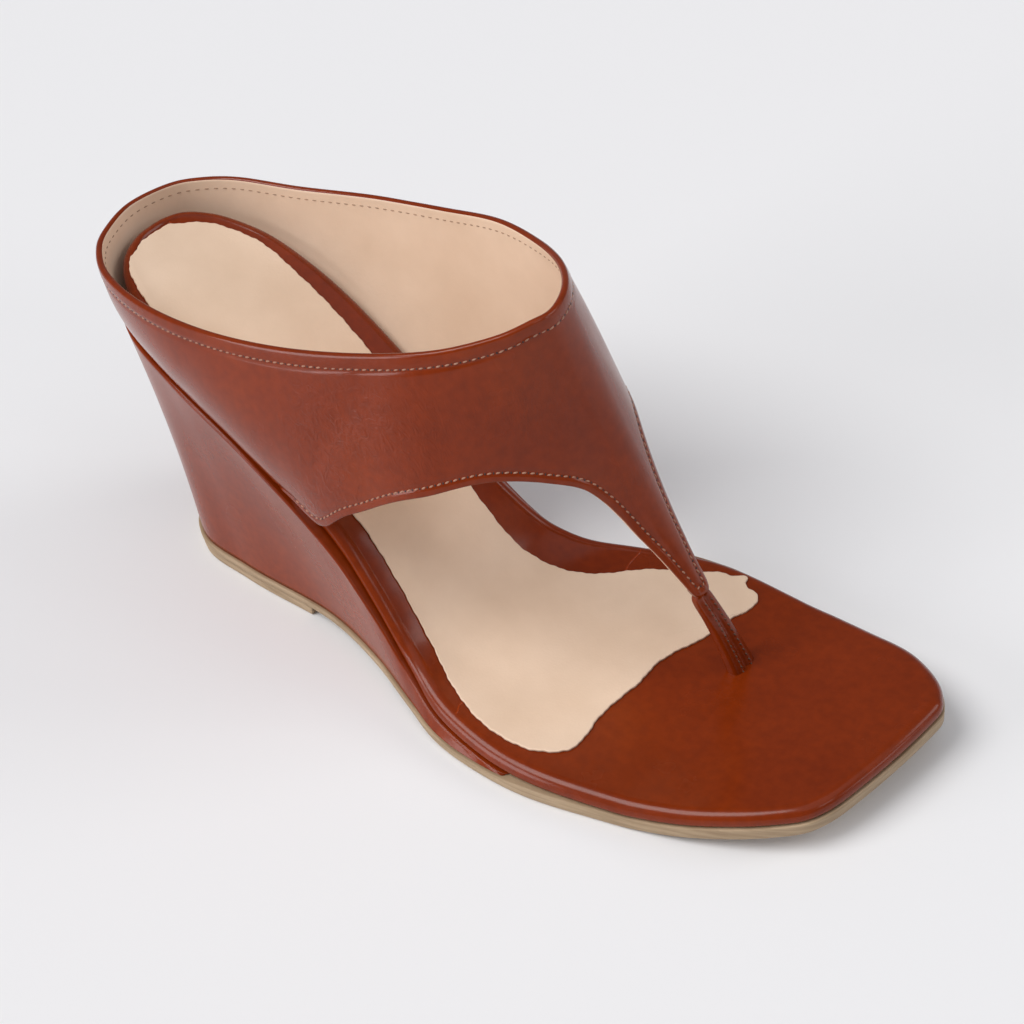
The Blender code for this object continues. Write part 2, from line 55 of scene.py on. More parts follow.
def columns(names, rows):
    # short table as a dictionary from a column's name to its numbers
    return dict(zip(names.split(), np.array(rows, float).T))


# Footbed's edge: a row for each section, as shares of length and of ball width
bedEdge = columns("outerAlong outerOut innerAlong innerOut", [
    (0.002, 0.043, 0.001, 0.043),      # heel back
    (0.013, 0.117, 0.010, 0.118),
    (0.032, 0.175, 0.037, 0.182),
    (0.060, 0.222, 0.079, 0.225),
    (0.146, 0.289, 0.167, 0.248),      # heel
    (0.283, 0.332, 0.312, 0.235),
    (0.417, 0.350, 0.437, 0.219),      # waist
    (0.492, 0.390, 0.508, 0.295),
    (0.554, 0.449, 0.575, 0.402),
    (0.658, 0.478, 0.658, 0.488),      # ball
    (0.767, 0.433, 0.767, 0.496),
    (0.871, 0.348, 0.867, 0.474),
    (0.937, 0.257, 0.942, 0.428),      # toe corners
    (0.965, 0.198, 0.983, 0.355),
    (0.977, 0.135, 1.000, 0.290),      # ends of the front edge
])

# Sole's edge as far as the ball. From there it follows the footbed.
soleEdge = columns("outerAlong outerOut innerAlong innerOut", [
    (0.062, 0.053, 0.062, 0.043),      # heel back
    (0.069, 0.143, 0.067, 0.123),
    (0.084, 0.221, 0.083, 0.203),
    (0.119, 0.286, 0.117, 0.262),
    (0.200, 0.311, 0.187, 0.272),      # heel
    (0.340, 0.316, 0.292, 0.246),
    (0.433, 0.369, 0.408, 0.251),      # waist
    (0.504, 0.433, 0.504, 0.353),
    (0.562, 0.481, 0.583, 0.476),
    (0.658, 0.492, 0.658, 0.520),      # ball
])

# Heights along the foot, as shares: footbed's rise, heel board, lift, arch, toe spring, change
# from waist sheet to forepart sheet, and cup
heights = columns("along rise deep heel arch spring fore cup", [
    (0.000, 1.000, 1.00, 1.00, 0.00, 0.00, 0.00, 0.20),
    (0.070, 0.950, 0.84, 1.00, 0.00, 0.00, 0.00, 0.60),
    (0.146, 0.885, 0.62, 1.00, 0.00, 0.00, 0.00, 0.80),
    (0.208, 0.807, 0.40, 1.00, 0.00, 0.00, 0.00, 0.80),
    (0.271, 0.707, 0.22, 1.00, 0.00, 0.00, 0.00, 0.90),
    (0.333, 0.584, 0.08, 1.00, 0.00, 0.00, 0.00, 1.00),
    (0.396, 0.428, 0.02, 0.80, 0.60, 0.00, 0.00, 1.00),
    (0.446, 0.262, 0.00, 0.55, 1.00, 0.00, 0.00, 1.00),
    (0.496, 0.108, 0.00, 0.30, 0.80, 0.00, 0.06, 0.90),
    (0.542, 0.040, 0.00, 0.12, 0.40, 0.00, 0.14, 0.60),
    (0.592, 0.014, 0.00, 0.00, 0.00, 0.00, 0.26, 0.30),
    (0.650, 0.000, 0.00, 0.00, 0.00, 0.00, 0.55, 0.20),
    (0.690, 0.000, 0.00, 0.00, 0.00, 0.00, 1.00, 0.20),
    (0.780, 0.000, 0.00, 0.00, 0.00, 0.00, 1.00, 0.10),
    (0.830, 0.000, 0.00, 0.00, 0.00, 0.12, 1.00, 0.05),
    (0.896, 0.000, 0.00, 0.00, 0.00, 0.43, 1.00, 0.00),
    (1.000, 0.000, 0.00, 0.00, 0.00, 1.00, 1.00, 0.00),
])


def curveThrough(knots, values, at, gentle=False):
    # cubic curve h00 p0 + h10 m0 + h01 p1 + h11 m1 through the rows of values; gentle keeps it
    # from overshooting, with the harmonic mean of the neighbouring slopes
    values = np.asarray(values, float).reshape(len(knots), -1)
    if gentle:
        steps = np.diff(values, axis=0) / np.diff(knots)[:, None]
        same = steps[:-1] * steps[1:] > 0
        total = np.where(same, steps[:-1] + steps[1:], 1.0)
        inner = np.where(same, 2.0 * steps[:-1] * steps[1:] / total, 0.0)
        slopes = np.vstack([steps[:1], inner, steps[-1:]])
    else:
        slopes = np.gradient(values, knots, axis=0)
    at = np.clip(np.asarray(at, float), knots[0], knots[-1])
    low = np.clip(np.searchsorted(knots, at, side="right") - 1, 0, len(knots) - 2)
    width = (knots[low + 1] - knots[low])[..., None]
    t = (at - knots[low])[..., None] / width
    start = (2 * t - 3) * t * t + 1
    return (start * values[low] + (1 - start) * values[low + 1]
            + ((t - 2) * t + 1) * t * width * slopes[low] + (t - 1) * t * t * width * slopes[low + 1])


def share(name, x):
    return curveThrough(heights["along"], heights[name], np.asarray(x) / shoe["length"], gentle=True)[..., 0]


def soleLow(x):
    return (share("heel", x) * (shoe["liftThick"] + shoe["gap"]) + share("arch", x) * shoe["archLift"]
            + share("spring", x) * shoe["toeSpring"])


def soleTop(x):
    return soleLow(x) + shoe["waistSheet"] + share("fore", x) * (shoe["foreSheet"] - shoe["waistSheet"])


def bedTop(x):
    stack = shoe["foreSheet"] + shoe["gap"] + shoe["bedFore"]
    return stack + share("spring", x) * shoe["toeSpring"] + share("rise", x) * (shoe["heelHeight"] - stack)


def bedLow(x):
    return bedTop(x) - shoe["bedFore"] - share("deep", x) * (shoe["bedHeel"] - shoe["bedFore"])


def edgeLine(edge, sections):
    # outer and inner edge in plan at the given section numbers
    outer = np.column_stack([edge["outerAlong"] * shoe["length"], -edge["outerOut"] * shoe["ballWidth"]])
    inner = np.column_stack([edge["innerAlong"] * shoe["length"], edge["innerOut"] * shoe["ballWidth"]])
    step = np.linalg.norm(np.diff(outer, axis=0), axis=1) + np.linalg.norm(np.diff(inner, axis=0), axis=1)
    knots = np.append(0.0, np.cumsum(step))
    both = curveThrough(knots, np.hstack([outer, inner]), np.interp(sections, np.arange(len(knots)), knots))
    return both[..., :2], both[..., 2:]


soleAll = {name: np.append(soleEdge[name], bedEdge[name][len(soleEdge[name]):]) for name in soleEdge}
toeSection = len(bedEdge["outerAlong"]) - 1.0
# how far the origin, the middle of the lift's tread, lies ahead of the heel back
heelTread = edgeLine(soleAll, np.array([0.0, shoe["liftEnd"]]))[0][:, 0].mean()


def evenly(line, count, closed=True):
    # points at equal steps along a line given as rows; the first two columns are the place
    if closed:
        line = np.vstack([line, line[:1]])
    run = np.append(0.0, np.cumsum(np.linalg.norm(np.diff(line[:, :2], axis=0), axis=1)))
    at = np.linspace(0.0, run[-1], count + 1)[:-1] if closed else np.linspace(0.0, run[-1], count)
    return np.column_stack([np.interp(at, run, column) for column in line.T])


def soften(line, times):
    # rounds a closed line: each point moves to a quarter of its neighbours and half of itself
    for _ in range(times):
        line = 0.5 * line + 0.25 * (np.roll(line, 1, axis=0) + np.roll(line, -1, axis=0))
    return line


def outline(edge, first, last, bow=0.0, count=640, rounding=6, ends=(2.6, 3.2), front=None):
    # closed outline in plan, and beside each point the spine point that it looks to
    sections = np.linspace(first, last, 500)
    outer, inner = edgeLine(edge, sections)
    t = np.linspace(0, 1, 80)[1:-1, None]
    if front is None:
        front = outer[-1] * (1 - t) + inner[-1] * t
        front[:, :1] += bow * 4 * t * (1 - t)
    back = inner[0] * (1 - t) + outer[0] * t
    near = edgeLine(edge, np.clip(sections, first + ends[0], last - ends[1]))
    spine = (near[0] + near[1]) / 2
    middle = np.vstack([spine, np.repeat(spine[-1:], len(front), 0), spine[::-1],
                        np.repeat(spine[:1], len(back), 0)])
    both = evenly(np.hstack([np.vstack([outer, front, inner[::-1], back]), middle]), count)
    both = soften(both, rounding)
    return both[:, :2], both[:, 2:]


def outset(line, distance):
    # closed line moved out along its own normals
    run = np.roll(line, -1, axis=0) - np.roll(line, 1, axis=0)
    run /= np.linalg.norm(run, axis=1)[:, None]
    return line + np.column_stack([run[:, 1], -run[:, 0]]) * np.reshape(distance, (-1, 1))


def weldDoubles(mesh):
    work = bmesh.new()
    work.from_mesh(mesh)
    bmesh.ops.remove_doubles(work, verts=work.verts, dist=0.00002)
    work.to_mesh(mesh)
    work.free()


def surfaceMesh(name, grid, closedUp=False, weld=False, attributes=None):
    # grid[v, u] of points counted from the heel back; u closes round, v closes if closedUp
    rows, around = grid.shape[:2]
    index = np.arange(rows * around).reshape(rows, around)
    upper = np.roll(index, -1, axis=0) if closedUp else index[1:]
    lower = index if closedUp else index[:-1]
    faces = np.stack([lower, np.roll(lower, -1, axis=1), np.roll(upper, -1, axis=1), upper], -1)
    points = grid.reshape(-1, 3) - np.array([heelTread, 0.0, 0.0])
    mesh = bpy.data.meshes.new(name)
    mesh.from_pydata(points.tolist(), [], faces.reshape(-1, 4).tolist())
    for label, values in (attributes or {}).items():
        layer = mesh.attributes.new(label, "FLOAT", "POINT")
        layer.data.foreach_set("value", np.asarray(values, np.float32).reshape(-1))
    if weld:
        weldDoubles(mesh)
    mesh.shade_smooth()
    return mesh


def addPiece(name, mesh, finish, replaced=None):
    mesh.materials.append(finish)
    piece = bpy.data.objects.new(name, mesh)
    bpy.context.scene.collection.objects.link(piece)
    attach(piece, "root")
    if replaced:
        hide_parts(replaced)
    return piece


def toSpine(line, spine, shares):
    # plan points on the way from an outline to its spine, a row for each share
    k = np.asarray(shares)[:, None, None]
    return line[None] * (1 - k) + spine[None] * k


def withHeight(plan, height):
    return np.dstack([plan, height])


# Materials
def shaderNodes(name):
    finish = bpy.data.materials.new(name)
    finish.use_nodes = True
    tree = finish.node_tree
    return finish, tree, tree.nodes["Principled BSDF"]


def addNode(tree, kind, inputs=None, **settings):
    # a node with its settings, its socket values, and links where the value is another socket
    made = tree.nodes.new(kind)
    for key, value in settings.items():
        setattr(made, key, value)
    for key, value in (inputs or {}).items():
        if isinstance(value, bpy.types.NodeSocket):
            tree.links.new(value, made.inputs[key])
        else:
            made.inputs[key].default_value = value
    return made


def ramp(tree, fac, stops):
    made = addNode(tree, "ShaderNodeValToRGB", {"Fac": fac})
    elements = made.color_ramp.elements
    while len(elements) < len(stops):
        elements.new(0.5)
    for element, (place, color) in zip(elements, stops):
        element.position = place
        element.color = (*color, 1.0)
    return made.outputs["Color"]


def mathNode(tree, operation, a, b=0.0):
    return addNode(tree, "ShaderNodeMath", {0: a, 1: b}, operation=operation).outputs[0]


def noiseFac(tree, place, scale, detail, **inputs):
    # output of a noise texture; inputs are its other sockets, by name
    sockets = {"Vector": place, "Scale": scale, "Detail": detail, **inputs}
    return addNode(tree, "ShaderNodeTexNoise", sockets).outputs["Fac"]


def bumpNormal(tree, height, strength, distance, **inputs):
    sockets = {"Height": height, "Strength": strength, "Distance": distance, **inputs}
    return addNode(tree, "ShaderNodeBump", sockets).outputs["Normal"]


leatherLook = {
    "deep": (0.158, 0.0175, 0.0007), "middle": (0.188, 0.0220, 0.0010), "light": (0.222, 0.0290, 0.0015),
    "roughness": 0.23, "coat": 0.38, "coatRoughness": 0.11, "level": 0.10, "grainSize": 1500.0,
    "grainDepth": 0.10,
}
# the covers of the wedge and the footbed have a softer gloss than the band
wedgeLook = dict(leatherLook, coat=0.24, coatRoughness=0.16, level=0.12)
bedLook = dict(leatherLook, coat=0.30, coatRoughness=0.18, level=0.12)


def leather(name, look=leatherLook, bright=1.0, creased=False):
    # smooth dyed leather: clouds of tone, fine pores, and wrinkles where the attribute asks
    finish, tree, shader = shaderNodes(name)
    place = addNode(tree, "ShaderNodeTexCoord").outputs["Object"]
    cloud = noiseFac(tree, place, 26.0, 5.0, Roughness=0.6)
    stops = [(at, tuple(c * bright for c in look[key]))
             for at, key in ((0.25, "deep"), (0.52, "middle"), (0.80, "light"))]
    tone = ramp(tree, cloud, stops)
    fine = noiseFac(tree, place, 420.0, 3.0)
    speck = ramp(tree, fine, [(0.3, (0.90, 0.90, 0.90)), (0.7, (1.08, 1.08, 1.08))])
    mixed = addNode(tree, "ShaderNodeMix", {0: 1.0, 6: tone, 7: speck}, data_type="RGBA",
                    blend_type="MULTIPLY")
    pores = addNode(tree, "ShaderNodeTexVoronoi", {"Vector": place, "Scale": look["grainSize"]},
                    feature="SMOOTH_F1").outputs["Distance"]
    grain = noiseFac(tree, place, 900.0, 4.0)
    height = mathNode(tree, "ADD", mathNode(tree, "MULTIPLY", pores, 0.5), grain)
    normal = bumpNormal(tree, height, look["grainDepth"], 0.0002)
    if creased:
        mask = addNode(tree, "ShaderNodeAttribute", attribute_name="wrinkle").outputs["Fac"]
        turned = addNode(tree, "ShaderNodeMapping", {"Vector": place, "Rotation": (0.3, 0.5, 0.4),
                                                     "Scale": (320.0, 900.0, 260.0)}).outputs["Vector"]
        folds = noiseFac(tree, turned, 1.0, 4.0, Distortion=0.8)
        sharp = mathNode(tree, "ABSOLUTE", mathNode(tree, "SUBTRACT", folds, 0.5))
        lift = mathNode(tree, "MULTIPLY", sharp, mask)
        normal = bumpNormal(tree, lift, 0.7, 0.0012, Normal=normal)
    gloss = noiseFac(tree, place, 60.0, 4.0)
    rough = addNode(tree, "ShaderNodeMapRange", {"Value": gloss, "From Min": 0.3, "From Max": 0.7,
                                                 "To Min": look["roughness"] - 0.05,
                                                 "To Max": look["roughness"] + 0.06}).outputs["Result"]
    tree.links.new(mixed.outputs[2], shader.inputs["Base Color"])
    tree.links.new(rough, shader.inputs["Roughness"])
    tree.links.new(normal, shader.inputs["Normal"])
    shader.inputs["Coat Weight"].default_value = look["coat"]
    shader.inputs["Coat Roughness"].default_value = look["coatRoughness"]
    shader.inputs["Specular IOR Level"].default_value = look["level"]
    return finish


def matte(finish, tree, shader, tone, normal, roughness):
    # a plain surface with a tone, a bump and one roughness
    tree.links.new(tone, shader.inputs["Base Color"])
    tree.links.new(normal, shader.inputs["Normal"])
    shader.inputs["Roughness"].default_value = roughness
    return finish


liningLook = {"dark": (0.730, 0.535, 0.385), "light": (0.840, 0.640, 0.480), "roughness": 0.50}


def lining(name):
    # soft beige leather with faint clouds and a fine dull grain
    finish, tree, shader = shaderNodes(name)
    place = addNode(tree, "ShaderNodeTexCoord").outputs["Object"]
    cloud = noiseFac(tree, place, 34.0, 6.0, Roughness=0.55)
    tone = ramp(tree, cloud, [(0.30, liningLook["dark"]), (0.72, liningLook["light"])])
    grain = noiseFac(tree, place, 1300.0, 4.0)
    soft = noiseFac(tree, place, 90.0, 2.0)
    height = mathNode(tree, "ADD", mathNode(tree, "MULTIPLY", grain, 0.4), soft)
    return matte(finish, tree, shader, tone, bumpNormal(tree, height, 0.25, 0.0004), liningLook["roughness"])


soleLook = {"dark": (0.270, 0.180, 0.100), "light": (0.420, 0.300, 0.185), "roughness": 0.62}


def soleFinish(name):
    # matte tan sheet with a grain drawn out along its edge
    finish, tree, shader = shaderNodes(name)
    place = addNode(tree, "ShaderNodeTexCoord").outputs["Object"]
    drawn = addNode(tree, "ShaderNodeMapping", {"Vector": place, "Scale": (60.0, 60.0, 900.0)})
    streak = noiseFac(tree, drawn.outputs["Vector"], 1.0, 5.0)
    tone = ramp(tree, streak, [(0.30, soleLook["dark"]), (0.66, soleLook["light"])])
    grain = noiseFac(tree, place, 1100.0, 3.0)
    height = mathNode(tree, "ADD", streak, grain)
    return matte(finish, tree, shader, tone, bumpNormal(tree, height, 0.35, 0.0003), soleLook["roughness"])


def thread(name, color):
    # twisted thread, or a bare cut edge: darker flecks of the one colour
    finish, tree, shader = shaderNodes(name)
    place = addNode(tree, "ShaderNodeTexCoord").outputs["Object"]
    twist = noiseFac(tree, place, 2600.0, 2.0)
    tone = ramp(tree, twist, [(0.30, tuple(0.72 * c for c in color)), (0.70, color)])
    tree.links.new(tone, shader.inputs["Base Color"])
    shader.inputs["Roughness"].default_value = 0.55
    return finish


upperLeather = leather("upperLeather", bright=1.06, creased=True)
wedgeLeather = leather("wedgeLeather", wedgeLook, bright=1.05)
bedLeather = leather("bedLeather", bedLook)
postLeather = leather("postLeather", bright=0.95)
# brighter leather: painted highlight on the raised laps at the rim's joins
joinHighlightLeather = leather("joinHighlightLeather", bright=1.5)
upperLining = lining("upperLining")
sockLeather = lining("sockLeather")
tanSole = soleFinish("tanSole")
paleThread = thread("paleThread", (0.44, 0.22, 0.14))
brownThread = thread("brownThread", (0.40, 0.25, 0.16))
darkThread = thread("darkThread", (0.13, 0.055, 0.030))
# near-black: painted shade inside the stitch holes
paintedHoleShade = thread("paintedHoleShade", (0.030, 0.008, 0.004))
rawEdge = thread("rawEdge", (0.42, 0.22, 0.15))
print("stage: materials")

# Sole and heel lift
soleShape = {"round": 0.0008, "proud": 0.0004, "topRound": 0.0005}


def roundedSlab(line, spine, low, high):
    # rings from the middle of the underside round the edge to the middle of the top; each edge is
    # a quarter circle x = r (1 - cos a), z = r (1 - sin a)
    cut = soleShape["round"]
    topCut = soleShape["topRound"]
    a = np.linspace(0, np.pi / 2, 5)
    rings = [toSpine(outset(line, -cut), spine, [1.0, 0.7, 0.4, 0.15, 0.04])]
    up = [low(rings[0][..., 0])]
    for turn in a:
        ring = outset(line, -cut * (1 - np.sin(turn)))[None]
        rings.append(ring)
        up.append(low(ring[..., 0]) + cut * (1 - np.cos(turn)))
    for turn in a:
        ring = outset(line, -topCut * (1 - np.cos(turn)))[None]
        rings.append(ring)
        up.append(high(ring[..., 0]) - topCut * (1 - np.sin(turn)))
    inside = toSpine(outset(line, -topCut), spine, [0.04, 0.15, 0.4, 0.7, 1.0])
    rings.append(inside)
    up.append(high(inside[..., 0]))
    return withHeight(np.vstack(rings), np.vstack(up))


line, spine = outline(soleAll, 0.0, toeSection, shoe["toeBow"])
slab = roundedSlab(outset(line, soleShape["proud"]), spine, soleLow, soleTop)
addPiece("outsoleSheet", surfaceMesh("outsoleSheet", slab, weld=True), tanSole, "outsole")

line, spine = outline(soleAll, 0.0, shoe["liftEnd"], count=420, rounding=3, ends=(2.2, 0.8))
slab = roundedSlab(line, spine, lambda x: 0.0 * x, lambda x: 0.0 * x + shoe["liftThick"])
addPiece("heelLiftSheet", surfaceMesh("heelLiftSheet", slab, weld=True), tanSole, "heel_lift")
print("stage: sole")

# Wedge
wedgeShape = {"end": 9.00, "ledge": 0.0006, "hollow": 0.0014, "topRound": 0.0007, "rows": 46,
              "underBand": 0.0020, "inset": 0.0004}


def wedgeGrid():
    # rings blend from the sole's outline to the footbed's, P = low (1 - s) + high s, drawn in by
    # 4 s (1 - s) hollow, and the top edge is rolled over by a quarter circle
    low, spine = outline(soleAll, 0.0, wedgeShape["end"], count=600, ends=(2.6, 1.2))
    high, spineTop = outline(bedEdge, 0.0, wedgeShape["end"], count=600, ends=(2.6, 1.2))
    end = wedgeShape["end"]
    counted = np.linspace(0, end, 200)
    section = np.interp(high[:, 0], edgeLine(bedEdge, counted)[0][:, 0], counted)
    covered = np.interp(section, [0.0, 5.6, 6.6, end], [1.0, 1.0, 0.4, 0.0])
    lip = wedgeShape["ledge"] * np.interp(section, [6.6, end], [1.0, 0.3])
    high = outset(high, shoe["gap"] + covered * wedgeShape["underBand"] + lip)
    low = outset(low, -wedgeShape["inset"])
    bottom = soleTop(low[:, 0]) + shoe["gap"]
    top = bedLow(high[:, 0]) - shoe["gap"]
    tall = np.clip(top - bottom, 0.0002, None)
    cut = np.minimum(wedgeShape["topRound"], 0.45 * tall)
    rings = [np.dstack([toSpine(low, spine, [1.0, 0.6, 0.2]), np.repeat(bottom[None], 3, 0)])]
    drawn = wedgeShape["hollow"] * np.clip(tall / shoe["heelHeight"], 0, 1)
    for part in np.linspace(0, 1, wedgeShape["rows"]):
        ring = low * (1 - part) + high * part
        ring = outset(ring, -4 * part * (1 - part) * drawn)
        rings.append(np.dstack([ring[None], (bottom * (1 - part) + (top - cut) * part)[None]]))
    for turn in np.linspace(0, np.pi / 2, 6)[1:]:
        ring = outset(high, -cut * (1 - np.cos(turn)))
        rings.append(np.dstack([ring[None], (top - cut + cut * np.sin(turn))[None]]))
    inside = toSpine(outset(high, -cut), spineTop, [0.2, 0.6, 1.0])
    rings.append(np.dstack([inside, bedLow(inside[..., 0]) - shoe["gap"]]))
    grid = np.vstack(rings)
    grid[:3, :, 2] = soleTop(grid[:3, :, 0]) + shoe["gap"]
    return grid


addPiece("wedgeCover", surfaceMesh("wedgeCover", wedgeGrid(), weld=True), wedgeLeather, "wedge")
print("stage: wedge")


# Footbed and sock
def bedSurface(x, y):
    # footbed's top: height along the foot less a cup of 1 - (2t - 1)^4 across it
    sections = np.linspace(0.0, toeSection, 400)
    outer, inner = edgeLine(bedEdge, sections)
    middle = (outer[:, 0] + inner[:, 0]) / 2
    low = np.interp(x, middle, outer[:, 1]) + shoe["bedRound"]
    high = np.interp(x, middle, inner[:, 1]) - shoe["bedRound"]
    t = np.clip((y - low) / (high - low), 0.0, 1.0)
    return bedTop(x) - shoe["cup"] * share("cup", x) * (1 - (2 * t - 1) ** 4)


def bedGrid():
    # rings up the side, round the rim as a quarter circle, then in to the spine
    line, spine = outline(bedEdge, 0.0, toeSection, shoe["toeBow"], count=720, rounding=8)
    r = shoe["bedRound"]
    lowR = shoe["bedLowRound"]
    below = toSpine(outset(line, -lowR), spine, [1.0, 0.6, 0.2, 0.0])
    rings = [withHeight(below, bedLow(below[..., 0]))]
    for turn in np.linspace(0, np.pi / 2, 4)[1:]:
        ring = outset(line, -lowR * (1 - np.sin(turn)))[None]
        rings.append(withHeight(ring, bedLow(ring[..., 0]) + lowR * (1 - np.cos(turn))))
    for turn in np.linspace(0, np.pi / 2, 11):
        ring = outset(line, -r * (1 - np.cos(turn)))[None]
        rings.append(withHeight(ring, bedTop(ring[..., 0]) - r * (1 - np.sin(turn))))
    inside = toSpine(outset(line, -r), spine, np.linspace(0, 1, 44)[1:] ** 1.25)
    rings.append(withHeight(inside, bedSurface(inside[..., 0], inside[..., 1])))
    return np.vstack(rings)


addPiece("footbedCover", surfaceMesh("footbedCover", bedGrid(), weld=True), bedLeather, "footbed")

sockEdge = columns("outerAlong outerOut innerAlong innerOut", [
    (0.020, 0.060, 0.020, 0.040),      # heel back
    (0.040, 0.160, 0.050, 0.130),
    (0.075, 0.212, 0.095, 0.175),
    (0.160, 0.262, 0.175, 0.175),
    (0.285, 0.280, 0.300, 0.145),
    (0.405, 0.254, 0.405, 0.115),      # waist
    (0.490, 0.297, 0.490, 0.130),
    (0.555, 0.372, 0.563, 0.216),
    (0.605, 0.411, 0.612, 0.337),
    (0.650, 0.413, 0.655, 0.405),
    (0.672, 0.402, 0.681, 0.443),
    (0.690, 0.378, 0.694, 0.447),      # ends of the cut front edge
])
# the sock's cut front edge: out and along, from the outer side to the inner side
sockFront = columns("out along", [
    (-0.345, 0.7035), (-0.300, 0.7050), (-0.201, 0.6995), (-0.116, 0.7010), (-0.037, 0.7045),
    (0.042, 0.7030), (0.126, 0.7110), (0.187, 0.7210), (0.242, 0.7250), (0.321, 0.7320),
    (0.372, 0.7395), (0.408, 0.7380), (0.432, 0.7290), (0.430, 0.7190), (0.443, 0.7120),
    (0.470, 0.7090), (0.462, 0.7010),
])
sockShape = {"thick": 0.0008, "round": 0.0003, "lastSection": 11.0, "waver": 0.0001, "step": 0.55}


def sockGrid():
    # the sock's outline carried onto the footbed's top, with a rounded edge that wavers a little,
    # d = 0.1 mm (sin 0.9 s + 0.7 sin (2.3 s + 1)) with s in millimetres
    plan = np.column_stack([sockFront["along"] * shoe["length"], sockFront["out"] * shoe["ballWidth"]])
    run = np.append(0.0, np.cumsum(np.linalg.norm(np.diff(plan, axis=0), axis=1)))
    front = curveThrough(run, plan, np.linspace(0.0, run[-1], 160))
    line, spine = outline(sockEdge, 0.0, sockShape["lastSection"], count=900, rounding=2, ends=(2.4, 2.0),
                          front=front)
    s = np.arange(len(line)) * sockShape["step"]
    line = outset(line, sockShape["waver"] * (np.sin(0.9 * s) + 0.7 * np.sin(2.3 * s + 1)))
    floor = shoe["gap"] * 0.3
    r = sockShape["round"]
    below = toSpine(line, spine, [1.0, 0.5, 0.1, 0.0])
    rings = [withHeight(below, bedSurface(below[..., 0], below[..., 1]) + floor)]
    for turn in np.linspace(0, np.pi / 2, 5):
        ring = outset(line, -r * (1 - np.cos(turn)))[None]
        up = bedSurface(ring[..., 0], ring[..., 1]) + sockShape["thick"] - r * (1 - np.sin(turn))
        rings.append(withHeight(ring, up))
    inside = toSpine(outset(line, -r), spine, np.linspace(0, 1, 40)[1:] ** 1.2)
    rings.append(withHeight(inside, bedSurface(inside[..., 0], inside[..., 1]) + sockShape["thick"]))
    return np.vstack(rings)


addPiece("sockSheet", surfaceMesh("sockSheet", sockGrid(), weld=True), sockLeather, "sock")
print("stage: footbed and sock")


def ridgeMesh(name, path, normals, width, height, sink=0.0001):
    # half round ridge swept over a surface: P = c + b (w / 2) cos a + n (h sin a - sink), a from 0 to pi,
    # with both ends drawn down to a point
    tangent = np.gradient(path, axis=0)
    side = np.cross(normals, tangent)
    side /= np.linalg.norm(side, axis=1)[:, None]
    a = np.linspace(-0.25 * np.pi, 1.25 * np.pi, 12)
    taper = np.sqrt(np.clip(1 - np.linspace(-1, 1, len(path)) ** 12, 0.02, 1))[:, None, None]
    grid = (path[:, None] + side[:, None] * np.cos(a)[None, :, None] * width / 2 * taper
            + normals[:, None] * (np.sin(a)[None, :, None] * height * taper - sink))
    return surfaceMesh(name, grid[:, ::-1])


def bedNormal(x, y):
    # upward normal of the footbed's top, (-dz/dx, -dz/dy, 1) made one long
    e = 0.0003
    dx = (bedSurface(x + e, y) - bedSurface(x - e, y)) / (2 * e)
    dy = (bedSurface(x, y + e) - bedSurface(x, y - e)) / (2 * e)
    n = np.column_stack([-dx, -dy, np.ones_like(dx)])
    return n / np.linalg.norm(n, axis=1)[:, None]


# joins of the leather round the footbed's rim, raised laps in a lighter leather that paints the highlight
# along each lap: start and end in plan, shares of length and ball width
rimJoins = {
    "outerRimJoin": ((0.5745, -0.432), (0.5680, -0.378)),
    "innerRimJoin": ((0.5830, 0.385), (0.5880, 0.270)),
    "heelRimJoin": ((0.0100, 0.060), (0.0300, 0.052)),
}
joinShape = {"width": 0.00055, "height": 0.00022, "waver": 0.0002}
for name, ends in rimJoins.items():
    ends = np.array(ends) * np.array([shoe["length"], shoe["ballWidth"]])
    k = np.linspace(0, 1, 40)[:, None]
    way = ends[0] * (1 - k) + ends[1] * k
    way[:, 0] += joinShape["waver"] * np.sin(k[:, 0] * 9.0)
    path = np.column_stack([way, bedSurface(way[:, 0], way[:, 1])])
    ridge = ridgeMesh(name, path, bedNormal(way[:, 0], way[:, 1]), joinShape["width"], joinShape["height"])
    addPiece(name, ridge, joinHighlightLeather)

# Upper
upperShape = {"wall": 0.0017, "bulge": 0.004, "tabReach": 0.0071, "tabEnd": 0.240, "columns": 680, "rows": 56,
              "hem": 0.0029, "hemRaise": 0.00022, "edgeHem": 0.0019, "edgeRaise": 0.00018, "dip": 0.00022}
postShape = {"along": 0.777, "out": 0.176, "width": 0.0088, "depth": 0.0044, "sink": 0.0025, "drop": 0.010,
             "place": 0.16, "bow": 0.0006, "groove": 0.30}
# share of the full width and depth, from the end hidden in the tab down to the slot
postTaper = (0.36, 0.50, 0.65, 0.70, 0.76, 0.84, 0.94, 1.0, 1.0)

# Collar and foot of the upper, once round from the heel back: shares of length, ball width and
# climb for the collar, footbed section below, share of the way to the post, swell
upperBack = [(-0.021, 0.000, 0.000, 0.0, 0.00, 0.10)]
upperOuter = [
    (-0.008, -0.118, 0.000, 1.00, 0.00, 0.10),
    (0.017, -0.214, 0.005, 2.10, 0.00, 0.15),
    (0.067, -0.299, 0.025, 3.25, 0.00, 0.30),
    (0.150, -0.353, 0.075, 4.15, 0.00, 0.50),
    (0.250, -0.364, 0.170, 4.90, 0.00, 0.80),
    (0.350, -0.337, 0.310, 5.60, 0.00, 1.00),
    (0.446, -0.283, 0.510, 6.40, 0.00, 1.00),
    (0.529, -0.209, 0.730, 7.60, 0.12, 0.90),
    (0.579, -0.112, 0.880, 8.80, 0.51, -0.54),
    (0.602, -0.032, 0.985, 10.00, 0.82, -1.76),
    (0.608, 0.043, 1.000, 10.00, 1.00, -1.53),      # front
]
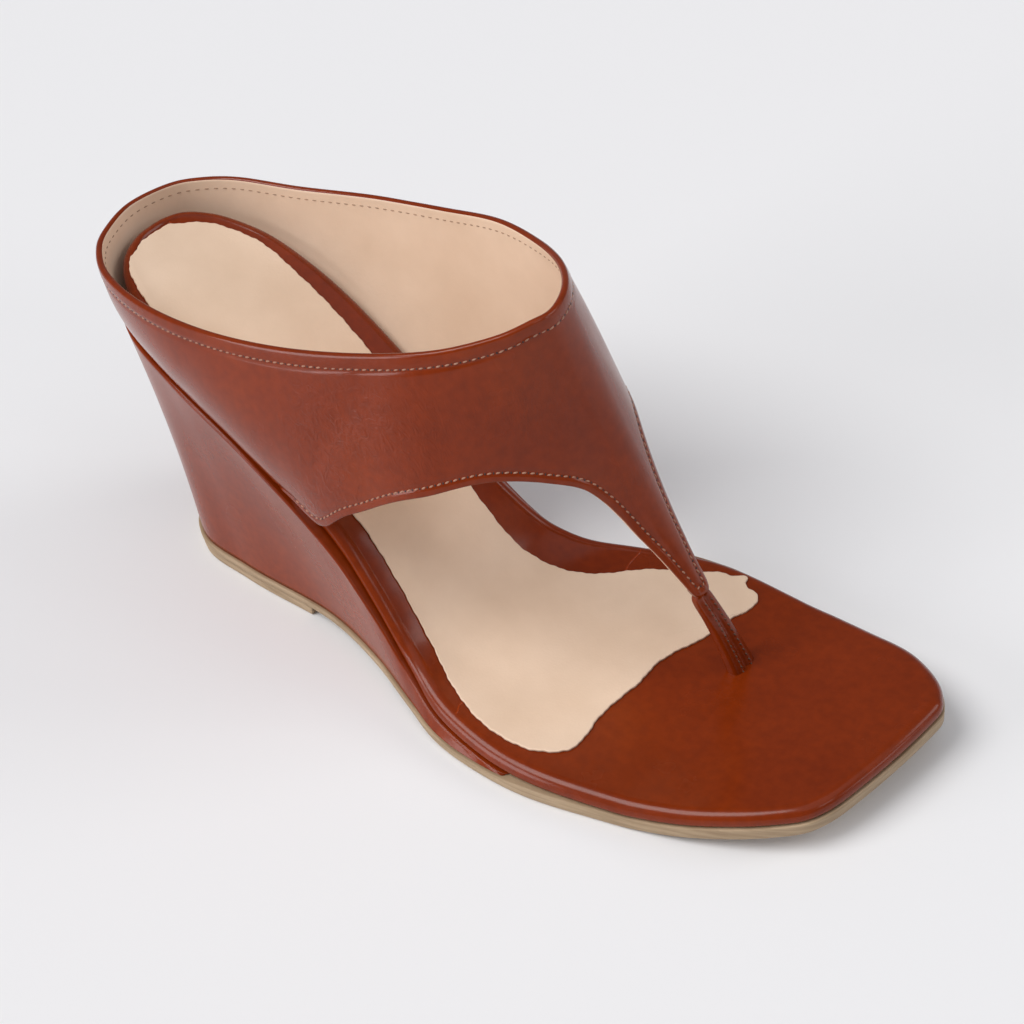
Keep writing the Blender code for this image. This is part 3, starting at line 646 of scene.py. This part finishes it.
upperInner = [
    (0.592, 0.144, 1.000, 9.00, 0.78, -0.66),
    (0.554, 0.241, 0.910, 8.20, 0.38, 0.88),
    (0.496, 0.326, 0.730, 7.00, 0.10, 1.10),
    (0.421, 0.385, 0.560, 6.00, 0.00, 1.00),
    (0.333, 0.406, 0.310, 5.30, 0.00, 1.00),
    (0.233, 0.385, 0.150, 4.60, 0.00, 0.80),
    (0.133, 0.332, 0.025, 3.85, 0.00, 0.50),
    (0.052, 0.276, 0.000, 2.90, 0.00, 0.30),
    (0.010, 0.206, 0.000, 2.00, 0.00, 0.15),
    (-0.012, 0.128, 0.000, 1.00, 0.00, 0.10),
]

# Free lower edge: place round the upper and share of its height
lowerEdge = columns("place height", [
    (5.62, 0.000),       # outer side, on the wedge
    (6.20, 0.130),
    (7.00, 0.440),
    (7.80, 0.620),
    (8.42, 0.668),       # outer opening's top
    (9.00, 0.640),
    (9.46, 0.594),
    (9.66, 0.548),
    (9.80, 0.500),
    (9.97, 0.428),
    (10.17, 0.368),
    (10.40, 0.304),
    (10.62, 0.260),      # tab's end
    (11.16, 0.240),
    (11.76, 0.248),
    (11.84, 0.286),
    (11.91, 0.320),
    (12.00, 0.354),
    (12.07, 0.398),
    (12.16, 0.450),
    (12.26, 0.504),
    (12.40, 0.558),
    (12.58, 0.598),
    (12.86, 0.620),      # inner opening's top
    (13.30, 0.622),
    (13.76, 0.570),
    (14.45, 0.440),
    (15.20, 0.180),
    (15.62, 0.000),      # inner side, on the wedge
])


def postFoot():
    x = postShape["along"] * shoe["length"]
    return np.array([x, postShape["out"] * shoe["ballWidth"], bedTop(x)])


def upperSections():
    # collar point, foot point and swell of each section
    rows = np.array(upperBack + upperOuter + upperInner)
    back = shoe["heelHeight"] + shoe["backRise"]
    collar = np.column_stack([rows[:, 0] * shoe["length"], rows[:, 1] * shoe["ballWidth"],
                              back + rows[:, 2] * (shoe["instepHeight"] - back)])
    outer, inner = edgeLine(bedEdge, rows[:, 3])
    side = np.where((np.arange(len(rows)) <= len(upperOuter))[:, None], outer, inner)
    side[0] = (outer[0] + inner[0]) / 2
    run = np.gradient(np.vstack([side[-1:], side, side[:1]]), axis=0)[1:-1]
    run /= np.linalg.norm(run, axis=1)[:, None]
    side = side + np.column_stack([run[:, 1], -run[:, 0]]) * (shoe["gap"] + upperShape["wall"])
    foot = np.column_stack([side, bedLow(side[:, 0]) + 0.3 * upperShape["wall"]])
    aim = postFoot() + np.array([upperShape["tabReach"], 0.0, 0.0])
    foot = foot * (1 - rows[:, 4:5]) + aim * rows[:, 4:5]
    return collar, foot, rows[:, 5:6]


def roundCurve(values, places):
    # smooth closed curve through rows numbered 0, 1, 2 and so on
    lap = np.vstack([values[-3:], values, values[:4]])
    return curveThrough(np.arange(-3.0, len(values) + 4.0), lap, np.mod(places, len(values)))


def shellPoint(place, height):
    # outer face: P = foot (1 - h) + collar h + n swell 4 h (1 - h)
    collar, foot, swell = upperSections()
    top = roundCurve(collar, place)
    low = roundCurve(foot, place)
    ahead = roundCurve(collar, place + 0.5) + roundCurve(foot, place + 0.5)
    behind = roundCurve(collar, place - 0.5) + roundCurve(foot, place - 0.5)
    n = np.cross(ahead - behind, top - low)
    n /= np.linalg.norm(n, axis=-1)[..., None]
    h = height[..., None]
    return low * (1 - h) + top * h + n * roundCurve(swell, place) * upperShape["bulge"] * 4 * h * (1 - h)


def upperColumns():
    # place and height of each column, once round, spaced by the edge and the collar above it
    rows = np.column_stack([lowerEdge["place"], lowerEdge["height"]])
    scaled = rows * np.array([1.0, 6.0])
    knots = np.append(0.0, np.cumsum(np.linalg.norm(np.diff(scaled, axis=0), axis=1)))
    free = curveThrough(knots, rows, np.linspace(0.0, knots[-1], 3000))
    free[:, 1] = np.maximum(free[:, 1], 0.0)
    seated = np.linspace(rows[-1, 0], rows[0, 0] + 22, 1201)[1:-1]
    ring = np.vstack([free, np.column_stack([seated, 0.0 * seated])])
    ring = np.vstack([ring, ring[:1] + np.array([22.0, 0.0])])
    low = shellPoint(ring[:, 0], ring[:, 1])
    top = shellPoint(ring[:, 0], 0.0 * ring[:, 1] + 1.0)
    step = np.linalg.norm(np.diff(low, axis=0), axis=1) + 0.7 * np.linalg.norm(np.diff(top, axis=0), axis=1)
    run = np.append(0.0, np.cumsum(step))
    at = np.linspace(0.0, run[-1], upperShape["columns"] + 1)[:-1]
    picked = np.column_stack([np.interp(at, run, column) for column in ring.T])
    return picked, at < np.interp(3000, np.arange(len(run)), run)


def nearest(points, line, chunk=4000):
    # distance from each point to a line's points, and the number of the nearest one
    away = np.empty(len(points))
    which = np.empty(len(points), int)
    for start in range(0, len(points), chunk):
        block = points[start:start + chunk]
        square = ((block[:, None] - line[None]) ** 2).sum(-1)
        which[start:start + chunk] = square.argmin(1)
        away[start:start + chunk] = np.sqrt(square.min(1))
    return away, which


def gridNormals(grid):
    du = np.roll(grid, -1, axis=1) - np.roll(grid, 1, axis=1)
    dv = np.gradient(grid, axis=0)
    n = np.cross(du, dv)
    return n / np.linalg.norm(n, axis=-1)[..., None]


def bell(x, width):
    return np.exp(-(x / width) ** 2)


# Soft hollows and ridges of the worn leather: place, height, angle to the horizontal in degrees,
# length, width and depth in metres (a ridge has a negative depth)
upperFolds = [
    (6.6, 0.62, 70, 0.016, 0.0045, 0.00046),
    (6.9, 0.40, 60, 0.014, 0.0040, 0.00042),
    (7.4, 0.74, 80, 0.014, 0.0050, -0.00036),
    (8.1, 0.80, 85, 0.012, 0.0050, 0.00045),
    (9.3, 0.80, 80, 0.016, 0.0055, 0.00050),
    (12.6, 0.78, 100, 0.014, 0.0050, 0.00030),
    (13.8, 0.72, 105, 0.016, 0.0050, 0.00030),
    (4.6, 0.55, 60, 0.014, 0.0050, 0.00018),
]


def foldDepth(points):
    # each fold is depth exp(-(a / length)^2) exp(-(b / width)^2), a along it and b across it
    depth = np.zeros(len(points))
    for place, height, angle, length, width, deep in upperFolds:
        spot = np.array([place, place + 0.05])
        level = np.array([height, height])
        middle, beside = shellPoint(spot, level)
        above = shellPoint(spot, level + 0.02)[0]
        across = (beside - middle) / np.linalg.norm(beside - middle)
        up = (above - middle) / np.linalg.norm(above - middle)
        turn = np.radians(angle)
        axis = across * np.cos(turn) + up * np.sin(turn)
        side = -across * np.sin(turn) + up * np.cos(turn)
        away = points - middle
        depth += deep * bell(away @ axis, length) * bell(away @ side, width)
    return depth


def hemShape(away, hem, lift, dip):
    # turned edge: raised band as far as the stitches, a dip under them, level beyond
    band = lift / (1 + np.exp((away - hem) / 0.00025))
    return band - dip * bell(away - hem - 0.0004, 0.0006)


ring, isFree = upperColumns()
t = np.linspace(0, 1, upperShape["rows"])[:, None]
t = 0.5 * t + 0.5 * (3 * t * t - 2 * t ** 3)
outerGrid = shellPoint(ring[:, 0] + 0.0 * t, ring[:, 1] * (1 - t) + t)
outerNormals = gridNormals(outerGrid)
collarLine = outerGrid[-1]
freeLine = outerGrid[0][isFree]
flat = outerGrid.reshape(-1, 3)
collarAway = nearest(flat, collarLine)[0]
freeAway = nearest(flat, freeLine)[0]
rise = hemShape(collarAway, upperShape["hem"], upperShape["hemRaise"], upperShape["dip"])
rise += hemShape(freeAway, upperShape["edgeHem"], upperShape["edgeRaise"], upperShape["dip"])
rise -= foldDepth(flat)
outerFace = outerGrid + outerNormals * rise.reshape(outerGrid.shape[:2] + (1,))
innerFace = outerGrid - outerNormals * upperShape["wall"]


def roundEdge(outside, inside, ahead, steps, flatten=0.9):
    # half circle from the outer face over to the inner face
    middle = (outside + inside) / 2
    radius = (outside - inside) / 2
    reach = np.linalg.norm(radius, axis=1)[:, None] * ahead
    turns = np.linspace(0, np.pi, steps + 2)[1:-1]
    return np.array([middle + radius * np.cos(a) + reach * np.sin(a) * flatten for a in turns])


def along(a, b):
    d = a - b
    return d / np.linalg.norm(d, axis=1)[:, None]


topRound = roundEdge(outerFace[-1], innerFace[-1], along(outerGrid[-1], outerGrid[-2]), 6)
lowRound = roundEdge(innerFace[0], outerFace[0], along(outerGrid[0], outerGrid[1]), 5, 0.5)
upperGrid = np.vstack([outerFace, topRound, innerFace[::-1], lowRound])

# where the leather shows fine wrinkles: place, height, reach in metres, strength
wrinkleSpots = [(6.7, 0.70, 0.013, 1.0), (6.75, 0.35, 0.012, 1.0), (7.6, 0.78, 0.014, 0.7),
                (13.9, 0.75, 0.014, 0.8), (9.4, 0.82, 0.010, 0.6), (10.4, 0.55, 0.008, 0.5)]
mask = np.zeros(len(flat))
for place, height, size, amount in wrinkleSpots:
    spot = shellPoint(np.array([place]), np.array([height]))[0]
    mask += amount * bell(np.linalg.norm(flat - spot, axis=1), size)
mask = np.clip(mask, 0, 1).reshape(outerGrid.shape[:2])
wrinkle = np.zeros(upperGrid.shape[:2])
wrinkle[:len(outerFace)] = mask
upperMesh = surfaceMesh("upperShell", upperGrid, closedUp=True, attributes={"wrinkle": wrinkle})
upper = addPiece("upperShell", upperMesh, upperLeather, "upper")
upper.data.materials.append(upperLining)
# the lining's finish starts at the end of the collar's roll and goes down the inner face and part
# of the way round the free edge
rowNumber = np.repeat(np.arange(len(upperGrid)), upperGrid.shape[1])
firstLining = len(outerFace) + len(topRound) - 1
lastLining = len(upperGrid) - 4
isLining = (rowNumber >= firstLining) & (rowNumber <= lastLining)
upper.data.polygons.foreach_set("material_index", isLining.astype(np.int32))
print("stage: upper")


# Toe post
def postLine():
    # middle of the post: from between the tab's leather and lining, down into its slot
    front = 11.0 + postShape["place"]
    level = upperShape["tabEnd"] - postShape["drop"] + np.array([0.0, -0.04, 0.035, 0.018])
    hang = shellPoint(np.full(4, front), level)
    inward = np.cross(hang[0] - hang[1], np.array([0.0, 1.0, 0.0]))
    inward /= np.linalg.norm(inward)
    top = hang[0] + inward * (shoe["gap"] + postTaper[2] * postShape["depth"] / 2)
    hidden = hang[2:] + inward * (0.55 * upperShape["wall"])
    foot = postFoot()
    s = np.linspace(0, 1, 5)[:, None]
    free = top * (1 - s) + foot * s - inward * postShape["bow"] * 4 * s * (1 - s)
    slot = foot - np.array([0.0, 0.0, 1.0]) * np.array([0.5, 1.0])[:, None] * postShape["sink"]
    return np.vstack([hidden, free, slot])


def postFrame():
    # middle line, forward direction and size of the post's sections
    knots = postLine()
    count = np.arange(len(knots), dtype=float)
    number = np.linspace(0, len(knots) - 1, 90)
    middle = curveThrough(count, knots, number)
    size = curveThrough(count, np.array(postTaper), number)
    tangent = np.gradient(middle, axis=0)
    tangent /= np.linalg.norm(tangent, axis=1)[:, None]
    ahead = np.cross(tangent, np.array([0.0, 1.0, 0.0]))
    ahead /= np.linalg.norm(ahead, axis=1)[:, None]
    return middle, ahead, size


def postGrid():
    # section (cos a, sin a) squared off, with a groove down its front, carried along the line
    middle, ahead, size = postFrame()
    a = np.linspace(0, 2 * np.pi, 97)[:-1]
    square = (np.abs(np.cos(a)) ** 4 + np.abs(np.sin(a)) ** 4) ** -0.25
    off = (a + np.pi) % (2 * np.pi) - np.pi
    groove = 1 - postShape["groove"] * bell(off, 0.20) + 0.07 * bell(np.abs(off) - 0.46, 0.16)
    forward = (np.cos(a) * square * groove)[None, :, None] * size[:, :, None] * postShape["depth"] / 2
    sideways = (np.sin(a) * square)[None, :, None] * size[:, :, None] * postShape["width"] / 2
    grid = middle[:, None] + ahead[:, None] * forward + np.array([0.0, 1.0, 0.0]) * sideways
    lid = grid[:1].mean(axis=1, keepdims=True).repeat(len(a), 1)
    end = grid[-1:].mean(axis=1, keepdims=True).repeat(len(a), 1)
    grid = np.vstack([lid, grid, end])
    return grid[::-1]


postMesh = surfaceMesh("toePostStrap", postGrid(), weld=True)
addPiece("toePostStrap", postMesh, postLeather, "toe_post")
print("stage: toe post")


# Stitches
def settle(points, face, normals):
    # points dropped on the tangent plane of the nearest point of a face
    flatFace = face.reshape(-1, 3)
    which = nearest(points, flatFace, 60)[1]
    n = normals.reshape(-1, 3)[which]
    down = ((points - flatFace[which]) * n).sum(1)[:, None]
    return points - n * down, n


def stitchRow(name, line, face, normals, look, closed=False):
    # one small capsule for each stitch: P = c + t a + s b + n d over a grid of rows and spokes
    rows = 7
    spokes = 6
    run = np.vstack([line, line[:1]]) if closed else line
    length = np.append(0.0, np.cumsum(np.linalg.norm(np.diff(run, axis=0), axis=1)))
    count = int(length[-1] / look["pitch"])
    at = (np.arange(count) + look.get("start", 0.5)) * length[-1] / count
    centre = np.column_stack([np.interp(at, length, c) for c in run.T])
    further = 0.0008
    ahead = np.column_stack([np.interp(at + further, length, c) for c in run.T])
    centre, n = settle(centre, face, normals)
    tangent = ahead - centre
    tangent -= n * (tangent * n).sum(1)[:, None]
    tangent /= np.linalg.norm(tangent, axis=1)[:, None]
    side = np.cross(n, tangent)
    tangent = tangent + side * look.get("slant", 0.0)
    tangent /= np.linalg.norm(tangent, axis=1)[:, None]
    side = np.cross(n, tangent)
    v = np.linspace(0, np.pi, rows)[:, None]
    u = np.linspace(0, 2 * np.pi, spokes + 1)[:-1][None]
    a = (-np.cos(v) * look["length"] / 2 + 0 * u).reshape(-1)
    b = (np.sin(v) ** 0.7 * np.cos(u) * look["width"] / 2).reshape(-1)
    d = (np.sin(v) ** 0.7 * np.sin(u) * look["width"] / 2 - np.cos(v) ** 2 * look["width"] * 0.6
         + look["lift"]).reshape(-1)
    points = (centre[:, None] + tangent[:, None] * a[None, :, None] + side[:, None] * b[None, :, None]
              + n[:, None] * d[None, :, None])
    cells = np.arange(rows * spokes).reshape(rows, spokes)
    quads = np.stack([cells[:-1], np.roll(cells[:-1], -1, 1), np.roll(cells[1:], -1, 1), cells[1:]], -1)
    faces = quads.reshape(1, -1, 4) + (np.arange(count) * rows * spokes)[:, None, None]
    points = points.reshape(-1, 3) - np.array([heelTread, 0, 0])
    mesh = bpy.data.meshes.new(name)
    mesh.from_pydata(points.tolist(), [], faces.reshape(-1, 4)[:, ::-1].tolist())
    weldDoubles(mesh)
    mesh.shade_smooth()
    return mesh


collarStitch = {"pitch": 0.0022, "length": 0.0016, "width": 0.00050, "lift": 0.00003, "down": 0.0031,
                "slant": 0.22}
edgeStitch = {"pitch": 0.0021, "length": 0.0015, "width": 0.00050, "lift": 0.00003, "down": 0.0021,
              "slant": 0.24}
innerStitch = {"pitch": 0.0026, "length": 0.0017, "width": 0.00036, "lift": 0.00003, "down": 0.0023}
# size of the near-black capsules that paint the shade in the stitch holes
holeShadeShape = {"length": 0.0010, "width": 0.00095, "lift": -0.00026}


def inFrom(line, normals, distance, closed):
    # line moved over the face, square to itself
    if closed:
        run = np.roll(line, -1, axis=0) - np.roll(line, 1, axis=0)
    else:
        run = np.gradient(line, axis=0)
    inward = np.cross(normals, run)
    inward /= np.linalg.norm(inward, axis=1)[:, None]
    return line + inward * distance


def sewn(name, line, face, normals, look, finish, closed=False):
    # a row of thread and, between its stitches, near-black capsules that paint the shade inside the holes it
    # goes down
    addPiece(name, stitchRow(name, line, face, normals, look, closed), finish)
    holeShadeLook = {"pitch": look["pitch"], "start": 0.0, **holeShadeShape}
    shadeName = name + "HoleShade"
    addPiece(shadeName, stitchRow(shadeName, line, face, normals, holeShadeLook, closed), paintedHoleShade)


outNormals = gridNormals(outerFace)
collarRow = inFrom(collarLine, -outerNormals[-1], collarStitch["down"], True)
sewn("collarStitches", collarRow, outerFace, outNormals, collarStitch, paleThread, True)
edgeRow = inFrom(outerGrid[0][isFree], outerNormals[0][isFree], edgeStitch["down"], False)
sewn("edgeStitches", edgeRow[8:-8], outerFace, outNormals, edgeStitch, paleThread)
liningRow = inFrom(innerFace[-1], -outerNormals[-1], innerStitch["down"], True)
row = stitchRow("liningStitches", liningRow, innerFace, -gridNormals(innerFace), innerStitch, True)
addPiece("liningStitches", row, brownThread)

# two rows of dark thread down the post's front, one each side of its groove
middle, ahead, size = postFrame()
shown = slice(24, 78)
postStitch = {"pitch": 0.0017, "length": 0.0011, "width": 0.00042, "lift": 0.00004, "slant": 0.25,
              "across": 0.21, "forward": 0.54}
for name, side in (("postStitchesOuter", -1.0), ("postStitchesInner", 1.0)):
    across = side * postStitch["across"] * postShape["width"] * size[shown] * np.array([0.0, 1.0, 0.0])
    line = middle[shown] + across + ahead[shown] * size[shown] * postShape["depth"] * postStitch["forward"]
    addPiece(name, stitchRow(name, line, line, ahead[shown], postStitch), darkThread)

# pale raw lip round the tab's end
inTab = (ring[isFree][:, 0] > 10.50) & (ring[isFree][:, 0] < 11.80)
lipLine = (outerGrid[0] * 0.8 + innerFace[0] * 0.2)[isFree][inTab]
lipOut = along(outerGrid[0], outerGrid[1])[isFree][inTab] + 0.6 * outerNormals[0][isFree][inTab]
lipOut /= np.linalg.norm(lipOut, axis=1)[:, None]
lipShape = {"width": 0.0009, "height": 0.00040}
lipMesh = ridgeMesh("tabLip", lipLine, lipOut, lipShape["width"], lipShape["height"])
addPiece("tabLip", lipMesh, rawEdge)
print("stage: stitches")

# Floor, lights, camera
studio = {"world": 0.22, "floor": (0.85, 0.85, 0.86)}
floorMesh = bpy.data.meshes.new("floor")
floorMesh.from_pydata([(-3, -3, 0), (3, -3, 0), (3, 3, 0), (-3, 3, 0)], [], [(0, 1, 2, 3)])
floor = bpy.data.objects.new("floor", floorMesh)
bpy.context.scene.collection.objects.link(floor)
floorFinish, tree, shader = shaderNodes("floorPaper")
shader.inputs["Base Color"].default_value = (*studio["floor"], 1.0)
shader.inputs["Roughness"].default_value = 0.6
floorMesh.materials.append(floorFinish)

world = bpy.data.worlds.new("studio")
bpy.context.scene.world = world
world.use_nodes = True
world.node_tree.nodes["Background"].inputs["Color"].default_value = (0.93, 0.94, 1.0, 1.0)
world.node_tree.nodes["Background"].inputs["Strength"].default_value = studio["world"]
bpy.context.scene.view_settings.view_transform = "Standard"


def softSun(name, toward, strength, spread, color):
    # broad even light from a direction, spread in degrees
    light = bpy.data.lights.new(name, "SUN")
    light.energy = strength
    light.angle = np.radians(spread)
    light.color = color
    holder = bpy.data.objects.new(name, light)
    bpy.context.scene.collection.objects.link(holder)
    holder.rotation_euler = (-Vector(toward)).to_track_quat("-Z", "Y").to_euler()


softSun("keyLight", (-0.35, -0.55, 0.95), 1.78, 34.0, (1.0, 0.99, 0.98))
softSun("topLight", (0.25, -0.05, 1.00), 0.45, 60.0, (0.98, 0.985, 1.0))
softSun("sideLight", (-0.50, -0.95, 0.24), 1.18, 30.0, (0.99, 0.98, 1.0))
softSun("tabLight", (0.88, 0.33, 0.25), 0.16, 15.0, (1.0, 0.98, 1.0))
softSun("vampLight", (0.86, -0.08, 0.54), 0.14, 15.0, (1.0, 1.0, 1.0))
softSun("innerLight", (0.58, 0.62, 0.54), 0.50, 25.0, (1.0, 0.99, 0.98))

view = {"place": (0.3564, -0.2775, 0.3881), "pitch": 39.740, "roll": -2.216, "heading": 36.611,
        "photoFocal": 1546.93, "aim": (353.0, 572.0), "zoom": 1.30}


def placeCamera():
    # the photograph's viewpoint, turned to the one shoe: the look direction is the ray through
    # the aim point of the photograph's frame
    pitch, roll, heading = np.radians([view["pitch"], view["roll"], view["heading"]])
    level = np.array([np.cos(heading), np.sin(heading), 0.0])
    forward = np.array([-np.sin(heading) * np.cos(pitch), np.cos(heading) * np.cos(pitch), -np.sin(pitch)])
    above = np.cross(level, forward)
    right = level * np.cos(roll) + above * np.sin(roll)
    up = above * np.cos(roll) - level * np.sin(roll)
    u, v = view["aim"]
    look = forward + right * (u - 512.0) / view["photoFocal"] - up * (v - 512.0) / view["photoFocal"]
    look /= np.linalg.norm(look)
    across = np.cross(look, up)
    across /= np.linalg.norm(across)
    upright = np.cross(across, look)
    turn = Matrix([[across[i], upright[i], -look[i]] for i in range(3)])
    lens = bpy.data.cameras.new("camera")
    lens.sensor_width = 36.0
    lens.lens = view["photoFocal"] / 1024.0 * 36.0 * view["zoom"]
    lens.clip_start = 0.01
    holder = bpy.data.objects.new("camera", lens)
    bpy.context.scene.collection.objects.link(holder)
    holder.matrix_world = Matrix.Translation(view["place"]) @ turn.to_4x4()
    bpy.context.scene.camera = holder


placeCamera()
print("stage: done")
